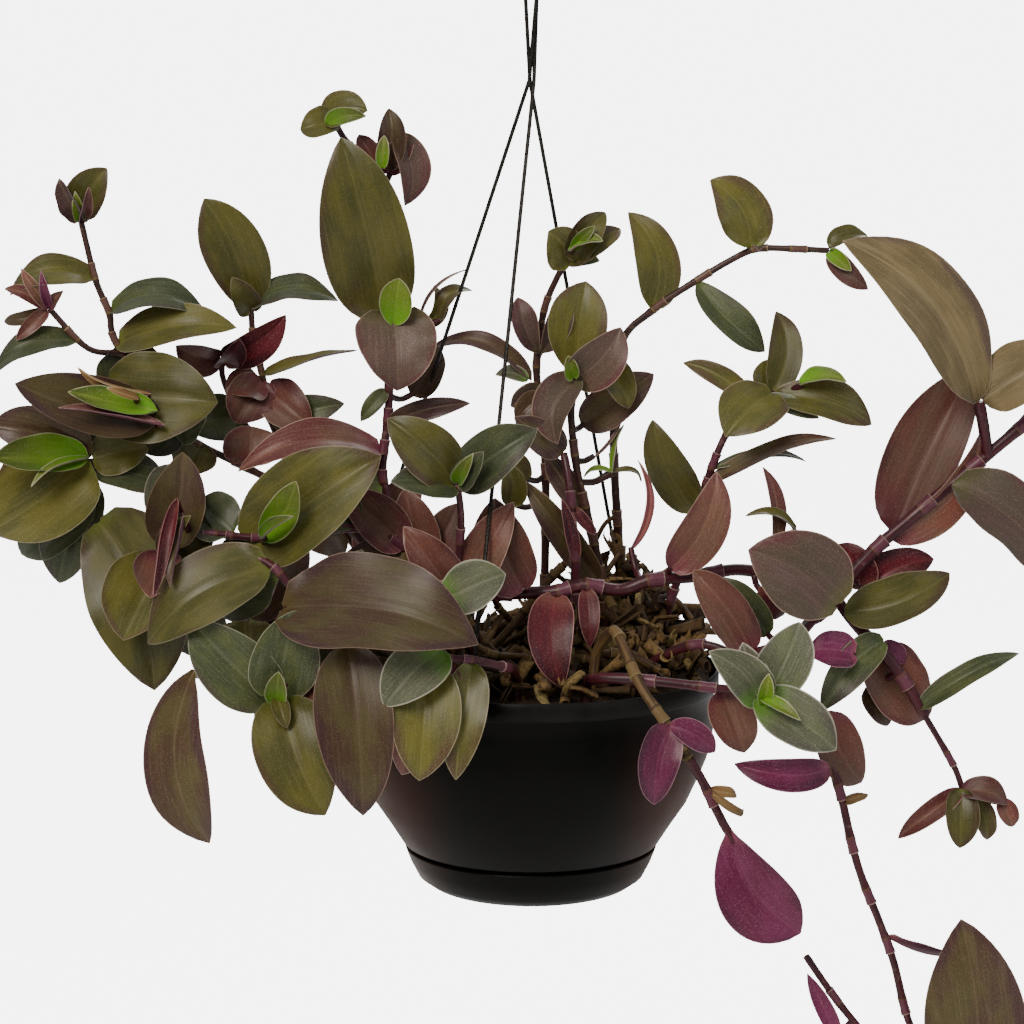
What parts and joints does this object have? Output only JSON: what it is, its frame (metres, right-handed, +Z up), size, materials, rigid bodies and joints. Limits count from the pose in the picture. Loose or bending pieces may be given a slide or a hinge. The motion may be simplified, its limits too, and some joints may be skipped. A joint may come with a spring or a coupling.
{
  "type": "potted tradescantia",
  "caption": "Trailing tradescantia with arching stems and broad pointed leaves in a round black hanging pot with drip saucer and wire hanger.",
  "frame": {"origin": "middle of the drip saucer's flat underside", "axes": "+Z up through the pot, the soil and the hook; -Y is the plant's best side"},
  "size_m": [0.5795, 0.2503, 0.6545],
  "materials": {
    "pot_plastic": "moulded black polypropylene, semi-gloss",
    "clip_plastic": "moulded black plastic",
    "hanger_steel": "thin dark coated steel wire",
    "soil": "dry peat mix with old sheaths",
    "stem": "maroon succulent stem, smooth",
    "old_stem": "tan jointed old stem",
    "leaf_green": "velvety olive-green leaf",
    "leaf_bronze": "velvety bronze leaf",
    "leaf_purple": "smooth magenta leaf underside"
  },
  "bodies": {
    "root": {"pot": "pot_plastic", "drip_saucer": "pot_plastic", "potting_soil": "soil", "hanger_clip_left": "clip_plastic", "hanger_wire_left": "hanger_steel", "hanger_clip_front": "clip_plastic", "hanger_wire_front": "hanger_steel", "hanger_clip_back": "clip_plastic", "hanger_wire_back": "hanger_steel", "hanger_hook": "hanger_steel", "shoot_upper_left": "stem", "shoot_left_upright": "stem", "shoot_far_left": "stem", "shoot_front_left_arching": "stem", "shoot_front_left_low": "stem", "shoot_centre_left": "stem", "shoot_front_centre_upright": "stem", "shoot_centre_tall": "stem", "shoot_centre_right": "stem", "shoot_centre_pink": "stem", "shoot_right_arching": "stem", "shoot_right_rosette": "stem", "shoot_right_long": "stem", "shoot_front_right_rosette": "old_stem", "shoot_trailing_right": "stem", "shoot_old_trailing": "old_stem", "shoot_front_left_hanging": "stem", "shoot_front_hanging": "stem", "leaf_upper_left_side": "leaf_green", "leaf_left_rosette_back": "leaf_bronze", "leaf_left_upright": "leaf_green", "leaf_left_drooping": "leaf_green", "leaf_front_left_crown": "leaf_green", "leaf_front_broad": "leaf_green", "leaf_left_low": "leaf_green", "leaf_left_broad": "leaf_green", "leaf_centre_upright": "leaf_green", "leaf_centre_dark": "leaf_bronze", "leaf_right_upright": "leaf_green", "leaf_right_hanging": "leaf_green", "leaf_right_top": "leaf_green", "leaf_front_upright": "leaf_bronze", "leaf_right_bronze": "leaf_bronze", "leaf_right_round": "leaf_bronze", "leaf_right_edge_low": "leaf_purple", "leaf_right_edge_huge": "leaf_bronze", "leaf_right_olive": "leaf_green", "leaf_right_plum": "leaf_purple", "leaf_front_right_folded": "leaf_green", "leaf_right_magenta": "leaf_purple", "leaf_trailing_broad": "leaf_green", "leaf_trailing_magenta": "leaf_purple", "leaf_low_left_dark": "leaf_green", "leaf_low_left_bronze": "leaf_bronze", "leaf_low_left_glossy": "leaf_green", "leaf_low_left_long": "leaf_bronze", "leaf_front_long": "leaf_bronze", "leaf_front_olive": "leaf_bronze", "leaf_front_green": "leaf_green"}
  },
  "joints": []
}
